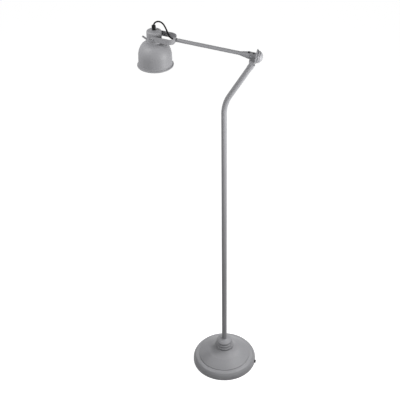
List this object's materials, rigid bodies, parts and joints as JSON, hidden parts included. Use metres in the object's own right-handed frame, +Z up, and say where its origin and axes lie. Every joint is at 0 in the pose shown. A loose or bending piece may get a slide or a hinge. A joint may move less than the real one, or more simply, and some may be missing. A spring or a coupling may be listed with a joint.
{
  "type": "floor lamp",
  "caption": "Grey floor lamp with a domed base, a bent pole, an arm on a friction hinge with a clamp knob, and a bell shade that tilts in a yoke",
  "frame": {"origin": "centre of the felt under the base, on the floor", "axes": "+Z up; the arm and head point to -X, the pole leans to +X, and both hinges turn about Y"},
  "size_m": [0.4646, 0.276, 1.6151],
  "materials": {
    "felt": "felt",
    "cast_iron": "as cast",
    "grey_coat": "matte powder coat",
    "zinc_steel": "zinc plated",
    "nylon": "natural nylon",
    "black_plastic": "moulded",
    "black_rubber": "satin sheath",
    "brass": "rolled thread"
  },
  "bodies": {
    "stand": {"felt_pad": "felt", "base_weight": "cast_iron", "base_shell": "grey_coat", "base_collar": "grey_coat", "cable_grommet": "black_plastic", "base_stud": "zinc_steel", "base_washer": "zinc_steel", "base_nut": "zinc_steel", "pole_plug": "nylon", "pole_tube": "grey_coat", "pole_lead": "black_rubber", "pole_head": "grey_coat"},
    "arm": {"arm_head": "grey_coat", "hinge_pin": "zinc_steel", "hinge_washers": "nylon", "brake_shoe": "nylon", "arm_tube": "grey_coat", "arm_nipple": "zinc_steel", "arm_nut": "grey_coat", "yoke": "grey_coat", "arm_lead": "black_rubber", "head_lead": "black_rubber"},
    "knob": {"clamp_screw": "zinc_steel", "clamp_knob": "grey_coat"},
    "head": {"socket_cup": "grey_coat", "shade": "grey_coat", "shade_ring": "black_plastic", "lampholder_body": "black_plastic", "lampholder_shell": "brass", "lampholder_contact": "brass", "head_nipple": "zinc_steel", "gland_body": "black_plastic", "gland_cap": "black_plastic", "pivot_screws": "grey_coat", "pivot_washers": "nylon", "pivot_nuts": "zinc_steel", "tilt_handle": "grey_coat"}
  },
  "joints": [
    {"name": "arm_pivot", "type": "hinge", "parent": "stand", "child": "arm", "pos_m": [0.09983, 0, 1.51432], "axis": [0, 1, 0], "range_deg": [-25, 15]},
    {"name": "head_tilt", "type": "hinge", "parent": "arm", "child": "head", "pos_m": [-0.25512, 0, 1.55696], "axis": [0, 1, 0], "range_deg": [-20, 45], "deforming": ["head_lead"]},
    {"name": "knob_turn", "type": "hinge", "parent": "arm", "child": "knob", "pos_m": [0.11621, 0, 1.51236], "axis": [0.9929, 0, -0.1193], "range_deg": [0, 270]}
  ]
}
